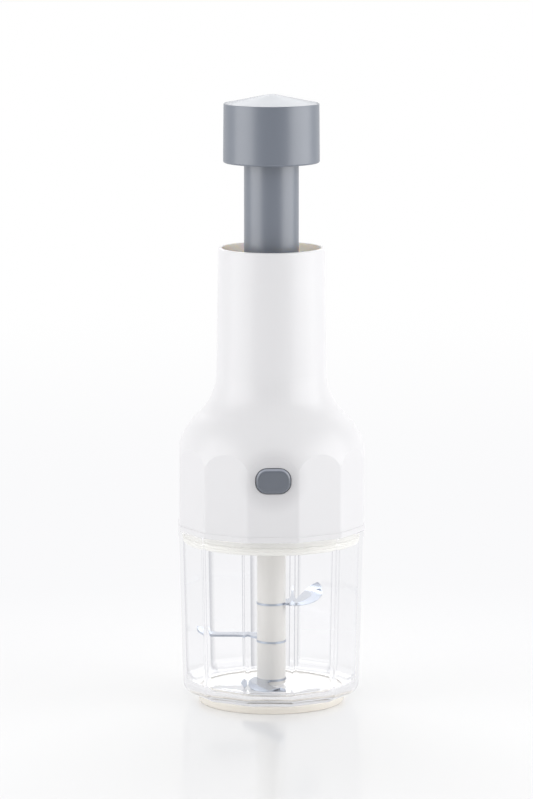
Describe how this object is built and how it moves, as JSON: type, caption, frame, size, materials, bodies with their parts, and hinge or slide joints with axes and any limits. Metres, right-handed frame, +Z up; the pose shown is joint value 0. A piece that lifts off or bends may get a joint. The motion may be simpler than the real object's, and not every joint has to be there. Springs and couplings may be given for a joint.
{
  "type": "plunger food chopper",
  "caption": "Push-down food chopper: clear panelled cup with a blade shaft, white drive housing with arched panels, grey plunger with a round knob, and a lock button in front.",
  "frame": {"origin": "centre of the foot ring's underside, on the plane the chopper stands on", "axes": "+Z up along the plunger and the blade shaft; -Y is the front, where the lock button is; +X is to the right seen from the front"},
  "size_m": [0.0892, 0.0902, 0.2917],
  "materials": {
    "clear_cup": "clear moulded plastic, polished",
    "foot_rubber": "soft, satin",
    "steel": "plated, satin",
    "spring_steel": "drawn wire",
    "blade_steel": "ground and brushed",
    "shaft_core": "moulded, matt",
    "blade_shaft": "moulded, satin",
    "drive_plastic": "natural acetal, waxy",
    "knob_grey": "moulded, semi-gloss",
    "shell_white": "moulded, glossy",
    "lid_cream": "moulded, satin",
    "seal_rubber": "soft, matt",
    "frame_plastic": "moulded, matt"
  },
  "bodies": {
    "cup": {"cup": "clear_cup", "base_ring": "foot_rubber", "pivot_pin": "steel"},
    "blades": {"shaft_core": "shaft_core", "shaft_foot": "blade_shaft", "blade_lower": "blade_steel", "spacer_lower": "blade_shaft", "blade_middle": "blade_steel", "spacer_upper": "blade_shaft", "blade_upper": "blade_steel", "shaft_head": "blade_shaft"},
    "housing": {"body_shell": "shell_white", "inner_lid": "lid_cream", "lid_seal": "seal_rubber", "hub_bush": "drive_plastic", "guide_frame": "frame_plastic", "guide_sleeve": "frame_plastic", "housing_screws": "steel"},
    "spindle": {"spindle": "drive_plastic", "drive_hub": "drive_plastic", "spring_seat": "drive_plastic"},
    "plunger": {"plunger_stem": "knob_grey", "drive_nut": "drive_plastic", "nut_pins": "steel", "knob": "knob_grey", "knob_cap": "knob_grey", "knob_screw": "steel", "return_spring": "spring_steel"},
    "lock": {"lock_button": "knob_grey", "lock_slide": "frame_plastic", "lock_spring": "spring_steel"}
  },
  "joints": [
    {"name": "housing_lift", "type": "slide", "parent": "cup", "child": "housing", "axis": [0, 0, 1], "range_m": [0, 0.1]},
    {"name": "plunger_slide", "type": "slide", "parent": "housing", "child": "plunger", "axis": [0, 0, -1], "range_m": [0, 0.066], "stiffness_N_per_m": 200, "springref_m": -0.05, "deforming": ["return_spring"]},
    {"name": "spindle_spin", "type": "hinge", "parent": "housing", "child": "spindle", "pos_m": [0, 0, 0.15], "axis": [0, 0, 1], "range_deg": [-665, 5]},
    {"name": "blade_spin", "type": "hinge", "parent": "cup", "child": "blades", "pos_m": [0, 0, 0.04], "axis": [0, 0, 1], "range_deg": [-665, 5]},
    {"name": "lock_press", "type": "slide", "parent": "housing", "child": "lock", "axis": [0, 1, 0], "range_m": [0, 0.002], "stiffness_N_per_m": 600, "springref_m": -0.003}
  ],
  "couplings": [
    {"joint": "spindle_spin", "follows": "plunger_slide", "rad_per_m": -174.53},
    {"joint": "blade_spin", "follows": "plunger_slide", "rad_per_m": -174.53}
  ]
}
